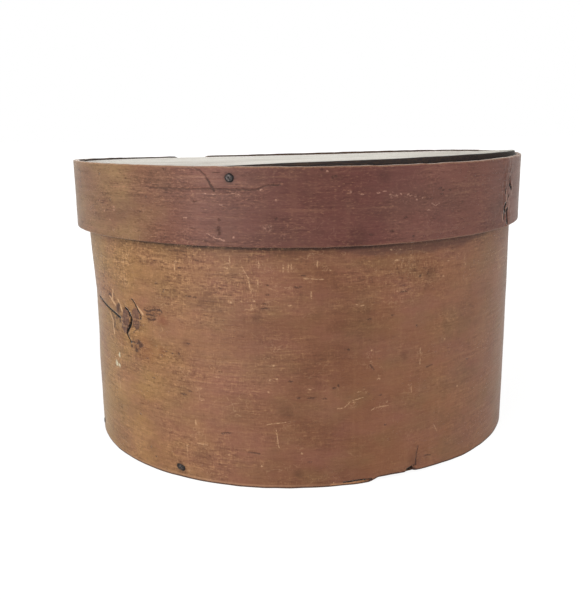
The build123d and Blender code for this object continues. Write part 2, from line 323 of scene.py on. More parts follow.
# Marks of age on the lid's hoop
lid_cracks = (
    (((59.3, 156.4), (59.4, 152.9), (60.9, 150.0)), 2.2, 1.0),
    (((57.0, 141.9), (56.6, 138.6)), 2.9, 1.2),
    (((58.0, 138.6), (58.4, 135.0), (58.6, 131.6)), 2.7, 1.4),
)
lid_fibres = (
    ((56.1, 137.5), (56.3, 133.6)), ((56.8, 150.7), (56.3, 148.2)), ((58.8, 146.4), (58.3, 143.8)),
)
lid_marks = {
    "grain": 0.86,
    "crossed": 0.12,
    "scuffs": 0.2,
    "smudges": (((17.5, 162.8), 6), ((-31.0, 161.5), 4), ((12.1, 133.2), 8), ((-15.9, 137.0), 3)),
    "light fibres": (
        ((57.3, 149.5), (57.4, 143.5)), ((61.2, 153.0), (62.0, 146.5)), ((57.6, 142.2), (57.3, 139.0)),
        ((59.6, 145.0), (59.9, 139.0)), ((55.6, 136.5), (55.8, 133.0)),
    ),
    "nails": "lid_board_nails",
    "scratches": (
        ((-18.3, 135.2), (-16.9, 133.6), (-14.9, 132.2)), ((-13.0, 155.0), (-11.3, 154.2)),
        ((28.9, 148.0), (30.0, 146.6), (31.0, 147.8)),
    ),
    "light dashes": (
        (16.2, 154.6), (17.5, 155.2), (18.9, 153.5), (23.5, 152.5), (12.7, 154.0), (28.2, 144.8),
        (-15.3, 149.5), (-18.6, 154.6), (-16.7, 154.4), (-22.9, 142.6), (38.1, 126.9),
    ),
    "light dots": (
        (20.2, 152.8), (21.2, 153.6), (22.9, 153.1), (24.7, 152.0), (25.1, 150.3), (26.5, 151.1),
        (-14.9, 132.2), (-6.6, 138.3), (-5.4, 139.5), (-12.8, 133.8), (-7.2, 156.8), (5.7, 165.3),
        (-42.9, 143.7), (-42.8, 145.4), (-48.7, 147.9), (-46.8, 142.7), (-4.3, 152.2), (10.3, 155.3),
        (-44.7, 138.3), (-54.8, 146.8),
    ),
    "scribbles": (
        ((-6.0, 138.9), 3.4), ((-16.4, 133.4), 2.5), ((-11.7, 154.6), 2.5), ((-42.9, 144.6), 2.5),
        ((19.2, 153.1), 2.5), ((22.2, 150.9), 2.5), ((29.8, 147.0), 2.5), ((-4.3, 152.2), 1.9),
    ),
    "lightness": 0.44,
    "threads": (
        ((-31.2, 156.7), (-22.7, 156.6), (-16.7, 157.0), (-8.2, 156.7), (-6.2, 158.8), (-4.0, 159.0)),
        ((-21.2, 167.4), (-19.4, 165.6), (-18.3, 163.2), (-17.5, 160.2), (-16.5, 156.0)),
    ),
    "slits": (((-17.8, 161.4), (-17.3, 159.4), (-16.5, 156.2)),),
    "dashes": (
        (-4.7, 159.0), (-3.9, 159.0), (-20.7, 150.8), (22.4, 141.8), (32.0, 154.1), (33.9, 154.0),
        (31.2, 155.2), (19.4, 135.6), (14.7, 134.5), (31.6, 152.2), (-27.4, 165.7), (28.5, 127.4),
        (-48.2, 162.1),
    ),
    "dots": (
        (4.6, 166.2), (6.8, 162.5), (7.4, 163.0), (24.4, 132.4), (-15.7, 135.6), (-15.8, 137.0),
        (-15.8, 138.4), (49.5, 167.0), (-4.4, 143.2), (-15.7, 142.1), (-32.5, 151.8), (-44.2, 148.9),
    ),
    "rubbed": 0.42,
    "cracks": [crack[:2] for crack in lid_cracks] + [(points, 0.9) for points in lid_fibres],
}


# Meshes
def stroke_distance(hoop, bearing, height, points):
    """How far places on a hoop's outside are from a line of points, and the share of the line there."""
    here = np.stack(np.broadcast_arrays(hoop.along(bearing), height), -1)
    line = [np.array((hoop.along(there), high)) for there, high in points]
    nearest = np.full(here.shape[:-1], np.inf)
    share = np.zeros(here.shape[:-1])
    for number, (start, end) in enumerate(zip(line, line[1:])):
        way = end - start
        part = np.clip((here - start) @ way / (way @ way), 0, 1)
        away = np.linalg.norm(here - start - part[..., None] * way, axis=-1)
        share = np.where(away < nearest, (number + part) / (len(line) - 1), share)
        nearest = np.minimum(nearest, away)
    return nearest, share


def groove(hoop, bearing, height, points, width, depth):
    """A crack cut along a line of points, that thins to its ends."""
    away, share = stroke_distance(hoop, bearing, height, points)
    local_width = width * (0.35 + 0.65 * np.sin(pi * share))
    return -depth * (1 - between(away, 0.15 * local_width, 0.6 * local_width + 0.3))


def mound(hoop, bearing, height, centre, reach_along, reach_up):
    """A soft swelling round a centre, 1 at its top."""
    along = (hoop.along(bearing) - hoop.along(centre[0])) / reach_along
    return np.exp(-(along**2) - ((height - centre[1]) / reach_up) ** 2)


def base_relief(bearing, height):
    """How far the base's outside stands out: dents, grain, the swollen knot, cracks and lost wood."""
    along = base.along(bearing)
    relief = 0.26 * uneven(along / 47, height / 42, 1) + 0.07 * uneven(along / 13, height / 8, 2)
    relief += 0.035 * uneven(along / 24, height / 1.5, 3)
    knot = mound(base, bearing, height, knot_centre, 12, 13)
    relief += knot * (0.9 + 0.3 * uneven(along / 3.4, height / 3.1, 4))
    relief += 0.5 * mound(base, bearing, height, (-56, 89), 14, 4)
    for points, width, depth in base_cracks:
        relief += groove(base, bearing, height, points, width, depth)
    relief += groove(base, bearing, height, foot_crack, 0.4, 0.22)
    opening = between(bearing, sliver_gap[0][0], 16)
    relief += opening * groove(base, bearing, height, sliver_gap, 1.1, 2.6)
    hole = stroke_distance(base, bearing, height, (lost_nail, (lost_nail[0] - 1.5, 2.2)))[0]
    relief -= 2.9 * (1 - between(hole, 0.9, 2.1))
    return relief


def lid_relief(bearing, height):
    """How far the lid hoop's outside stands out: dents, grain and the break where the strip kinked."""
    along = lid.along(bearing)
    relief = 0.2 * uneven(along / 52, height / 24, 11) + 0.06 * uneven(along / 12, height / 7, 12)
    relief += 0.035 * uneven(along / 22, height / 1.4, 13)
    kink = np.exp(-(((bearing - 58) / 3.2) ** 2))
    relief += kink * (0.35 + 0.3 * uneven(along / 2.6, height / 2.4, 14))
    for points, width, depth in lid_cracks:
        relief += groove(lid, bearing, height, points, width, depth)
    for points in lid_fibres:
        relief += groove(lid, bearing, height, points, 0.5, 0.4)
    return relief


def base_foot_loss(bearing):
    """How much of the base's lower edge is worn or split away. A long sliver is gone at the right."""
    along = base.along(bearing)
    split_at = (15.2, 16.0, 17.6, 20, 24, 26, 30, 36, 44)
    gone = np.interp(bearing, split_at, (0, 0.5, 2.0, 2.1, 1.8, 1.5, 1.2, 0.9, 0))
    nicks = 0.25 * between(uneven(along / 19, 0 * along, 6), 0.5, 1)
    return gone + 0.12 * (1 + uneven(along / 7, 0 * along, 5)) + nicks


def base_rim_loss(bearing):
    along = base.along(bearing)
    return 0.1 * (1 + uneven(along / 9, 0 * along, 7))


def lid_rim_loss(bearing):
    """The lid's rim is nicked all round, and a piece of it is broken out at the back."""
    along = lid.along(bearing)
    nicks = 0.3 * between(uneven(along / 11, 0 * along, 16), 0.6, 1)
    at_back = np.mod(bearing, 360)
    broken = between(at_back, 210, 212.5) * (1 - between(at_back, 221.5, 223.5))
    return 0.14 * (1 + uneven(along / 5, 0 * along, 15)) + nicks + 1.5 * broken


def lid_foot_loss(bearing):
    along = lid.along(bearing)
    return 0.1 * (1 + uneven(along / 6, 0 * along, 17))


def piece(name, form, body, node, finish):
    """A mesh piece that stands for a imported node. Its form is its points and its faces, where each point
    is in its wood, and on a hoop how far each point is from the worn foot and rim."""
    points, faces = form[:2]
    mesh = bpy.data.meshes.new(name)
    mesh.from_pydata((points * MM).tolist(), [], faces)
    mesh.validate()
    shape = bmesh.new()
    shape.from_mesh(mesh)
    bmesh.ops.recalc_face_normals(shape, faces=shape.faces)
    shape.to_mesh(mesh)
    shape.free()
    mesh.shade_smooth()
    for kind, values in zip(("wood", "edges"), form[2:]):
        kept = mesh.attributes.new(kind, "FLOAT_VECTOR", "POINT")
        kept.data.foreach_set("vector", values.astype(np.float32).ravel())
    mesh.materials.append(finish)
    made = bpy.data.objects.new(name, mesh)
    bpy.context.scene.collection.objects.link(made)
    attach(made, body)
    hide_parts(node)


def skin(rings, points_round):
    """The quads of a skin over rings of points, each ring one after the other."""
    here = np.arange(rings - 1)[:, None] * points_round + np.arange(points_round)
    beside = np.arange(rings - 1)[:, None] * points_round + (np.arange(points_round) + 1) % points_round
    quads = np.stack([here, here + points_round, beside + points_round, beside], -1)
    return quads.reshape(-1, 4).tolist()


def strip_section(outer_rows, inner_rows):
    """The points round a strip's section, as columns: side (1 is the outside), share of the height,
    and the inset and reach of its rounded corners."""
    arc = np.radians((22.5, 45, 67.5, 90))
    still = np.zeros(1)
    runs = (
        (1, outer_rows, still, still),
        (1, 1, 1 - np.cos(arc), np.sin(arc)),
        (0, 1, 1 - np.cos(arc[::-1]), np.sin(arc[::-1])),
        (0, inner_rows[::-1], still, still),
        (0, 0, 1 - np.cos(arc), -np.sin(arc)),
        (1, 0, 1 - np.cos(arc[::-1]), -np.sin(arc[::-1])),
    )
    return np.concatenate([np.stack(np.broadcast_arrays(*run), -1) for run in runs]).T


def bent_strip(hoop, bearings, section, relief, rim_loss, foot_loss, wear):
    """A strip bent round, lapped on itself, with its worn edges and the relief of its outside."""
    side, share, inset, reach = section
    bearing = bearings[:, None]
    inside, outside = hoop.levels(bearing)
    corner = np.minimum(wear, 0.45 * (outside - inside))
    level = np.where(side > 0, outside - corner * inset, inside + corner * inset)
    foot = hoop.foot + foot_loss(bearing)
    rim = hoop.rim - rim_loss(bearing)
    height = foot + corner + (rim - foot - 2 * corner) * share + corner * reach
    depth = hoop.thickness * (outside - level) / (outside - inside)

    # The inner end lies hidden under the lap, without relief, and both ends are cut a little ragged
    lap_end = hoop.start + hoop.lap_turn
    level = level + side * between(bearing, lap_end, lap_end + 4) * relief(bearing, height)
    half_turn = (hoop.end - hoop.start) / 2
    at_ends = between(np.abs(bearing - hoop.start - half_turn), half_turn - 2, half_turn)
    bearing = bearing + at_ends * 0.22 * uneven(height / 2.5, 0 * height, 21)
    points = hoop.place(bearing, level, height).reshape(-1, 3)
    wood = np.stack([hoop.along(bearing), height, depth], -1).reshape(-1, 3)
    edges = np.stack([height - foot, rim - height, 0 * height], -1).reshape(-1, 3)
    count = len(side)
    faces = skin(len(bearings), count)
    faces.append(list(range(count)))
    faces.append(list(range(len(points) - count, len(points)))[::-1])
    return points, faces, wood, edges


def turned_board(radius, top, bottom, wear, ring_step, sectors, shift=0.0):
    """A round board between two surfaces, given as heights at x and y, with worn edges."""
    arc = np.radians((0, 22.5, 45, 67.5, 90))
    side_steps = 5
    outward = spaced(ring_step, radius - wear, ring_step)
    inward = outward[-2::-2]
    outward = outward[:-1]

    # From the middle of the top, over its worn edge and down the side, to the middle of the underside
    edge = radius - wear + wear * np.sin(arc)
    rounding = wear * (1 - np.cos(arc))
    radii = np.concatenate([outward, edge, np.full(side_steps, radius), edge[::-1], inward])[:, None]
    flat = np.zeros(side_steps)
    under = np.concatenate([0 * outward, rounding, flat, -rounding[::-1], 0 * inward])[:, None]
    down_side = np.linspace(0, 1, side_steps + 2)[1:-1]
    share = np.concatenate([0 * outward, 0 * arc, down_side, 0 * arc + 1, 0 * inward + 1])[:, None]

    turn = np.radians(np.linspace(-180, 180, sectors, endpoint=False))
    round_x, round_y = radii * np.sin(turn), -radii * np.cos(turn)
    x, y = round_x * out_of_round(np.degrees(turn)), round_y * out_of_round(np.degrees(turn))
    high, low = top(x, y), bottom(x, y)
    on_side = high - wear + (low - high + 2 * wear) * share
    z = np.where((share > 0) & (share < 1), on_side, high + (low - high) * share - under)
    middle = np.array([[0, 0, top(0.0, 0.0)], [0, 0, bottom(0.0, 0.0)]])
    points = np.concatenate([np.stack([x, y, z], -1).reshape(-1, 3), middle])
    wood = np.concatenate([np.stack([round_x, round_y, z], -1).reshape(-1, 3), middle])
    faces = skin(len(radii), sectors)
    count = len(points) - 2
    for start, centre, way in ((0, count, 1), (count - sectors, count + 1, -1)):
        for number in range(sectors):
            beside = (number + 1) % sectors
            faces.append([start + number, start + beside, centre][::way])
    return points + (shift, 0, 0), faces, wood


# Iron: nails and tacks with hammered heads on square shanks
def iron_places(node, spacing=9.0, flat=2.5, top=0.12):
    """The bearing and height of each head in a packed group of nails or tacks."""
    points = np.array([corner.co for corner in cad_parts[node].data.vertices]) / MM
    out = np.hypot(points[:, 0], points[:, 1])
    round_place = points / np.stack([out, out, np.ones(len(out))], -1) * (out.max(), out.max(), 1)
    heads = []
    for index in np.argsort(-out, kind="stable"):
        away = [np.linalg.norm(round_place[index] - round_place[other]) for other in heads]
        if min(away, default=spacing) >= spacing:
            heads.append(index)
    places = []
    for index in heads:
        near = np.linalg.norm(round_place - round_place[index], axis=1) < flat
        x, y, z = points[near & (out > out[index] - top)].mean(0)
        places.append((degrees(np.arctan2(x, -y)), z))
    return sorted(places)


def drawn_iron(rings, seed, spread_way, flattened, sides=20):
    """Iron from rings (up, out, lean, radius, squareness), in a frame of up, side and out. The hammer has
    spread its head out one way."""
    spread = np.random.default_rng(seed)
    turn = np.linspace(0, 2 * pi, sides, endpoint=False)
    square = 1 / np.maximum(np.abs(np.cos(turn)), np.abs(np.sin(turn)))
    ripple = 0.03 * np.sin(turn * 5 + spread.uniform(0, 6))
    hammered = 1 + flattened * np.cos(2 * (turn - spread_way)) + ripple
    points, spots = [], []
    for up, out, lean, radius, squareness in rings:
        shape = radius * (squareness * square + (1 - squareness) * hammered)
        across, beside = shape * np.cos(turn), shape * np.sin(turn)
        dents = (1 - squareness) * 0.06 * spread.uniform(-1, 1, sides)
        points.append(np.stack([up + across * cos(lean), beside, out - across * sin(lean) + dents], -1))
        spots.append(np.stack([across, beside, np.full(sides, out + 7.0 * seed)], -1))
    faces = skin(len(rings), sides)
    faces.append(list(range(sides))[::-1])
    last = (len(rings) - 1) * sides
    faces.append([last + number for number in range(sides)])
    return np.concatenate(points), faces, np.concatenate(spots)


def head_rings(radius, height, seat):
    """A hammered head from its worn top down to its edge."""
    profile = ((1.0, 0.06), (0.99, 0.3), (0.93, 0.58), (0.8, 0.84), (0.6, 0.96), (0.3, 1.0), (0.0, 0.98))
    return [(0, seat + height * rise, 0, radius * share, 0) for share, rise in profile]


def nail_rings(radius=2.35, height=0.75, seat=-0.35, shank=0.85, point=0.3, length=18.0):
    """A nail that runs on through a hoop into the edge of its board."""
    rings = head_rings(radius, height, seat)
    rings.append((0, seat - 0.02, 0, shank, 1))
    rings.append((0, -length, 0, point, 1))
    return rings


def tack_rings(grip, radius=1.95, height=0.65, seat=0.02, shank=0.5, bend=0.56, clinch=2.4, point=1.6):
    """A tack through a lap as thick as the grip, its point bent down inside."""
    rings = head_rings(radius, height, seat)
    rings += [(0, seat - 0.02, 0, shank, 1), (0, -grip, 0, shank, 1)]
    for lean in np.radians((22, 45, 67, 90)):
        rings.append((bend * cos(lean) - bend, -grip - bend * sin(lean), lean, shank, 1))
    rings.append((-bend - clinch, -grip - bend, pi / 2, shank, 1))
    rings.append((-bend - clinch - point, -grip - bend + 0.2, pi / 2, 0.15, 1))
    return rings


def driven(hoop, node, relief, clinched, flattened, hammer_way=133):
    """Iron driven through a hoop at each packed place, seated on its worn surface."""
    points, faces, spots = [], [], []
    for seed, (bearing, height) in enumerate(iron_places(node)):
        at_lap = np.array(bearing + 360 if bearing + 360 < hoop.end else bearing)
        outside = float(hoop.levels(at_lap)[1])
        level = outside + float(relief(at_lap, np.array(height)))
        rings = tack_rings(outside) if clinched else nail_rings()
        local, quads, places = drawn_iron(rings, seed, radians(bearing + hammer_way), flattened)
        out = np.array((sin(radians(bearing)), -cos(radians(bearing)), 0))
        beside = np.array((-out[1], out[0], 0))
        start = hoop.place(at_lap, level, np.array(height))
        count = sum(len(group) for group in points)
        points.append(start + local[:, :1] * (0, 0, 1) + local[:, 1:2] * beside + local[:, 2:] * out)
        faces += [[number + count for number in quad] for quad in quads]
        spots.append(places)
    return np.concatenate(points), faces, np.concatenate(spots)


# Finishes
def colour(red, green, blue):
    """A colour as it looks, from 0 to 255, in the light values that a shader takes."""
    shares = [part / 255 for part in (red, green, blue)]
    return tuple(s / 12.92 if s < 0.04045 else ((s + 0.055) / 1.055) ** 2.4 for s in shares) + (1.0,)


class Value:
    """A socket that gives a value. Sums with it add Math nodes."""

    def __init__(self, finish, socket):
        self.finish = finish
        self.socket = socket

    def maths(self, operation, *values):
        return self.finish.add("Math", {"operation": operation}, dict(enumerate(values)))

    def __add__(self, other):
        return self.maths("ADD", self, other)

    __radd__ = __add__

    def __sub__(self, other):
        return self.maths("SUBTRACT", self, other)

    def __rsub__(self, other):
        return self.maths("SUBTRACT", other, self)

    def __mul__(self, other):
        return self.maths("MULTIPLY", self, other)

    __rmul__ = __mul__

    def __truediv__(self, other):
        return self.maths("DIVIDE", self, other)

    def __abs__(self):
        return self.maths("ABSOLUTE", self)

    def larger(self, other):
        return self.maths("MAXIMUM", self, other)

    def smaller(self, other):
        return self.maths("MINIMUM", self, other)

    def sine(self):
        return self.maths("SINE", self)

    def cosine(self):
        return self.maths("COSINE", self)


class Finish:
    """A node tree, for a material or for the world."""

    def __init__(self, tree):
        self.tree = tree
        tree.nodes.clear()

    def add(self, kind, settings=None, sockets=None, out=0):
        """A node of a kind, with its settings made first, then its sockets by number or identifier."""
        node = self.tree.nodes.new("ShaderNode" + kind)
        for name, value in (settings or {}).items():
            if name == "stops":
                self.set_stops(node.color_ramp.elements, value)
            else:
                setattr(node, name, value)
        for key, value in (sockets or {}).items():
            by_name = {socket.identifier: socket for socket in node.inputs}
            socket = node.inputs[key] if isinstance(key, int) else by_name[key]
            if isinstance(value, Value):
                self.tree.links.new(value.socket, socket)
            else:
                socket.default_value = value
        return Value(self, node.outputs[out]) if len(node.outputs) else None

    def set_stops(self, elements, stops):
        while len(elements) < len(stops):
            elements.new(1.0)
        for element, (position, tone) in zip(elements, stops):
            element.position = position
            element.color = tone

    def vector(self, operation, *values, out=0):
        return self.add("VectorMath", {"operation": operation}, dict(enumerate(values)), out)

    def part(self, place, axis):
        """One of the three values of a place."""
        return self.add("SeparateXYZ", None, {"Vector": place}, "XYZ".index(axis))

    def noise(self, place, sizes, seed, detail=3.0, roughness=0.55, out=0):
        """Noise whose spots are about the given sizes in millimetres along each axis."""
        scaled = self.vector("MULTIPLY", place, [1 / size for size in sizes])
        moved = self.vector("ADD", scaled, (seed * 7.3, seed * 3.1, seed * 5.7))
        sockets = {"Vector": moved, "Scale": 1.0, "Detail": detail, "Roughness": roughness}
        return self.add("TexNoise", {"noise_dimensions": "3D"}, sockets, out)

    def fade(self, value, low, high):
        """From 0 where a value is at low to 1 where it is at high, starting and ending gently."""
        settings = {"interpolation_type": "SMOOTHSTEP"}
        return self.add("MapRange", settings, {"Value": value, "From Min": low, "From Max": high})

    def patches(self, place, sizes, seed, low=0.5, high=0.72):
        """Soft patches about the given sizes: 1 inside them, and 0 elsewhere."""
        return self.fade(self.noise(place, sizes, seed), low, high)

    def squiggles(self, noise, wide, thin):
        """Thin curling lines, where a noise passes its middle value."""
        return self.fade(abs(noise - 0.5), wide, thin)

    def turned(self, place, angle):
        return self.add("VectorRotate", {"rotation_type": "Z_AXIS"}, {"Vector": place, "Angle": angle})

    def blend(self, mask, first, second, way="MIX"):
        """The first colour, and the second where the mask is 1."""
        settings = {"data_type": "RGBA", "blend_type": way}
        sockets = {"Factor_Float": mask, "A_Color": first, "B_Color": second}
        return self.add("Mix", settings, sockets, 2)

    def ramp(self, value, stops):
        return self.add("ValToRGB", {"stops": stops}, {"Fac": value})

    def stroke(self, place, points):
        """How far a place on a hoop's face is from a line of points, all in millimetres."""
        away = []
        for start, end in zip(points, points[1:]):
            way = Vector((*end, 0)) - Vector((*start, 0))
            offset = self.vector("SUBTRACT", place, (*start, 0))
            share = self.vector("DOT_PRODUCT", offset, way / way.length_squared, out=1)
            share = self.add("Clamp", None, {"Value": share})
            reached = self.add("CombineXYZ", None, {0: share, 1: share, 2: share})
            reached = self.vector("MULTIPLY", way, reached)
            away.append(self.vector("DISTANCE", offset, reached, out=1))
        return reduce(Value.smaller, away)

    def spot(self, place, centre, reach):
        """A round soft spot, 1 at its centre and 0 past its reach."""
        away = self.vector("DISTANCE", place, (*centre, 0), out=1)
        return self.fade(away, reach, 0.15 * reach)

    def finish_with(self, **sockets):
        """The shader that a finish ends in. What is alike all over is set on its own socket."""
        named = {name.replace("_", " "): value for name, value in sockets.items()}
        self.add("OutputMaterial", None, {"Surface": self.add("BsdfPrincipled", None, named)})

    def bump(self, height, distance=1.0):
        return self.add("Bump", None, {"Strength": 1.0, "Distance": distance * MM, "Height": height})


def material(name):
    made = bpy.data.materials.new(name)
    made.use_nodes = True
    return made, Finish(made.node_tree)


class Coat:
    """The colour of a finish, laid on in layers. A layer's tone is a colour, or names one of the tones."""

    def __init__(self, finish, tones, tone=None):
        self.finish = finish
        self.tones = tones
        self.tone = tone

    def cover(self, mask, tone):
        """A layer that hides those under it where the mask is 1."""
        self.tone = self.finish.blend(mask, self.tone, self.tones.get(tone, tone))

    def tint(self, mask, tone):
        """A layer that darkens those under it, by multiplying them, where the mask is 1."""
        self.tone = self.finish.blend(mask, self.tone, self.tones[tone], "MULTIPLY")


class Face(Coat):
    """The coat of a hoop's outside: where a point is on the strip, and masks for the marks on it."""

    def __init__(self, finish, tones, hoop, seed):
        super().__init__(finish, tones)
        self.hoop = hoop
        self.seed = seed
        self.wood = finish.add("Attribute", {"attribute_name": "wood"}, None, 1)
        self.height = finish.part(self.wood, "Y")
        self.depth = finish.part(self.wood, "Z")
        self.bearing = finish.part(self.wood, "X") / float(hoop.along(1.0))
        self.flat = finish.vector("MULTIPLY", self.wood, (1, 1, 0))
        edges = finish.add("Attribute", {"attribute_name": "edges"}, None, 1)
        self.above_foot = finish.part(edges, "X")
        self.below_rim = finish.part(edges, "Y")

        # Noise that breaks up the marks and makes their outlines ragged
        shake = finish.noise(self.flat, (1.6, 1.6, 1.6), seed + 30, 3, 0.6, out=1)
        shake = finish.vector("MULTIPLY", finish.vector("SUBTRACT", shake, (0.5, 0.5, 0.5)), (1.3, 1.3, 0))
        self.ragged = finish.vector("ADD", self.flat, shake)
        self.broken = finish.noise(self.flat, (1.5, 1.0, 1.0), seed + 31)
        self.crumbled = finish.fade(finish.noise(self.flat, (0.8, 0.6, 1), seed + 32, 2), 0.36, 0.56)

        # How worn the stain is: most on the left, more on the right than in the middle, and high up
        to_left = finish.fade(self.bearing, 15, -45)
        high_up = finish.fade(self.height, hoop.rim - 65, hoop.rim - 38)
        to_right = finish.fade(self.bearing, 12, 40)
        self.worn = 0.2 + 0.64 * to_left + 0.2 * to_right + 0.42 * high_up - 0.12 * to_left * high_up

    def on_strip(self, points):
        """Points (bearing, height) as millimetres along the strip and up it."""
        return [(float(self.hoop.along(bearing)), height) for bearing, height in points]

    def line(self, points):
        """How far a place is from a line of points."""
        return self.finish.stroke(self.ragged, self.on_strip(points))

    def lines(self, marks):
        """How far a place is from the nearest of some lines of points."""
        return reduce(Value.smaller, [self.line(points) for points in marks])

    def cracks(self, marks):
        """The same for cracks, in shares of each one's own width."""
        return reduce(Value.smaller, [self.line(points) / width for points, width in marks])

    def dabs(self, marks, long, high):
        """Small uneven dabs of one size, each at a bearing and a height."""
        scaled = self.finish.vector("MULTIPLY", self.ragged, (2 / long, 2 / high, 0))
        middles = [(2 * along / long, 2 * up / high, 0) for along, up in self.on_strip(marks)]
        away = [self.finish.vector("DISTANCE", scaled, middle, out=1) for middle in middles]
        return self.finish.fade(reduce(Value.smaller, away), 1.2, 0.4) * self.crumbled

    def all_dabs(self, marks, sizes):
        """The dabs of several kinds, whose length and height are given for each kind."""
        kinds = [kind for kind in sizes if kind in marks]
        return reduce(Value.larger, [self.dabs(marks[kind], *sizes[kind]) for kind in kinds])

    def spots(self, marks, place=None):
        """Soft spots, each a centre and a reach."""
        spots = []
        for centre, reach in marks:
            spots.append(self.finish.spot(place or self.ragged, self.on_strip((centre,))[0], reach))
        return reduce(Value.larger, spots)


def clouded(face):
    """Old stain that has gone redder, duller and darker in patches."""
    finish, wood, seed = face.finish, face.wood, face.seed
    face.cover(finish.patches(wood, (34, 19, 9), seed + 3, 0.36, 0.74) * 0.6, "red")
    face.cover(finish.patches(wood, (27, 17, 9), seed + 4, 0.4, 0.76) * 0.45, "dull")
    face.tint(finish.patches(wood, (9, 5, 6), seed + 5, 0.48, 0.7) * 0.24, "dark tint")
    face.cover(finish.patches(face.flat, (4.5, 80, 9), seed + 6, 0.5, 0.7) * 0.05, "light")


def grained(face, strength, crossed):
    """Fine broken grain: fibres, short dark pores, a speckle between them, and wear across them."""
    finish, wood, seed = face.finish, face.wood, face.seed
    streaks = finish.noise(wood, (26, 1.7, 2), seed + 10)
    fibres = finish.noise(wood, (5.5, 0.95, 1), seed + 11, 3, 0.65)
    speckle = finish.noise(wood, (2.1, 0.85, 1), seed + 12, 2, 0.6)
    across = finish.noise(face.flat, (0.75, 2.6, 1), seed + 16, 2, 0.6)
    patchy = 0.55 + 0.9 * finish.patches(face.flat, (21, 15, 9), seed + 15, 0.4, 0.62)
    worn = face.worn * strength * patchy
    layers = (
        (streaks, worn, (0.5, 0.74), 0.45, (0.48, 0.28), 0.24),
        (fibres, worn, (0.5, 0.75), 0.8, (0.45, 0.25), 0.28),
        (speckle, worn, (0.5, 0.8), 0.85, (0.46, 0.22), 0.6),
        (across, worn * crossed, (0.5, 0.76), 0.75, (0.46, 0.24), 0.42),
    )
    for noise, wear, dark_range, dark, light_range, light in layers:
        face.tint(finish.fade(noise, *dark_range) * wear * dark, "grain tint")
        face.cover(finish.fade(noise, *light_range) * wear * light, "light")
    pored = finish.patches(face.flat, (26, 18, 9), seed + 13, 0.4, 0.62)
    pores = finish.patches(wood, (2.8, 0.55, 0.8), seed + 14, 0.64, 0.74) * pored
    face.tint(pores * 0.75, "grain tint")
    return streaks, fibres, pores


def scuffed(face, strength):
    """Light scratches: upright ones, slanting ones and curling ones, in patches, and bright flecks."""
    finish, flat, seed = face.finish, face.flat, face.seed
    upright = finish.patches(flat, (0.5, 8, 3), seed + 20, 0.64, 0.78)
    slanting = finish.patches(finish.turned(flat, 0.5), (6, 0.45, 3), seed + 21, 0.66, 0.8)
    curling = finish.squiggles(finish.noise(flat, (17, 14, 9), seed + 22), 0.012, 0.002)
    where = finish.patches(flat, (24, 17, 9), seed + 23, 0.42, 0.66) * (face.worn * 1.3 + 0.15)
    scratches = upright.larger(slanting).larger(curling * 0.5) * where
    scratches = scratches * finish.fade(face.broken, 0.38, 0.56)
    flecks = finish.patches(flat, (1.1, 0.9, 1), seed + 24, 0.72, 0.8)
    flecked = finish.patches(flat, (11, 9, 9), seed + 25, 0.52, 0.7)
    face.cover(scratches.larger(flecks * flecked) * strength, "scratch")
    return scratches


light_dab_sizes = {"light dashes": (2.6, 0.9), "light dots": (1.5, 1.3), "light uprights": (0.85, 4.6)}
dark_dab_sizes = {"dashes": (3.0, 1.2), "dots": (1.8, 1.7), "long dashes": (5.5, 1.3)}


def marked(face, marks):
    """The marks that the object has in known places."""
    finish = face.finish
    face.tint(face.spots(marks["smudges"]) * 0.6, "dark tint")
    face.cover(finish.fade(face.lines(marks["light fibres"]), 0.95, 0.25) * 0.48, "scratch")
    # Iron stain and painted shade: a dark soft spot round each nail head
    nail_stain_and_shade = [(place, 4.2) for place in iron_places(marks["nails"])]
    face.cover(face.spots(nail_stain_and_shade, face.flat) * 0.75, "grime")

    # Light marks: scratches, dabs and scribbled scuffs, and specks of chalk
    curls = finish.noise(face.flat, (3.4, 2.8, 1), face.seed + 34, 3, 0.7)
    scribbled = finish.fade(face.spots(marks["scribbles"]), 0.05, 0.6) * (0.2 + 0.4 * face.broken)
    scribbles = finish.squiggles(curls, 0.03, 0.006) * scribbled
    scratches = finish.fade(face.lines(marks["scratches"]), 0.45, 0.02) * face.crumbled
    light = face.all_dabs(marks, light_dab_sizes).larger(scribbles).larger(scratches)
    face.cover(light * marks["lightness"], "scratch")
    if "chalk" in marks:
        face.cover(face.spots(marks["chalk"]) * finish.fade(face.broken, 0.3, 0.55), "chalk")

    # Dark marks: threads, slits, dabs and blots
    threads = finish.fade(face.lines(marks["threads"]) + face.broken * 0.5 - 0.25, 0.65, 0.1)
    slits = finish.fade(face.lines(marks["slits"]), 0.75, 0.1)
    dark = face.all_dabs(marks, dark_dab_sizes)
    face.cover(threads * 0.6, "rust")
    face.cover(slits * 0.8, "rust")
    face.cover(dark * 0.72, "rust")
    if "blots" in marks:
        face.cover(face.spots(marks["blots"]) * 0.9, "rust")
    return dark.larger(threads).larger(slits)


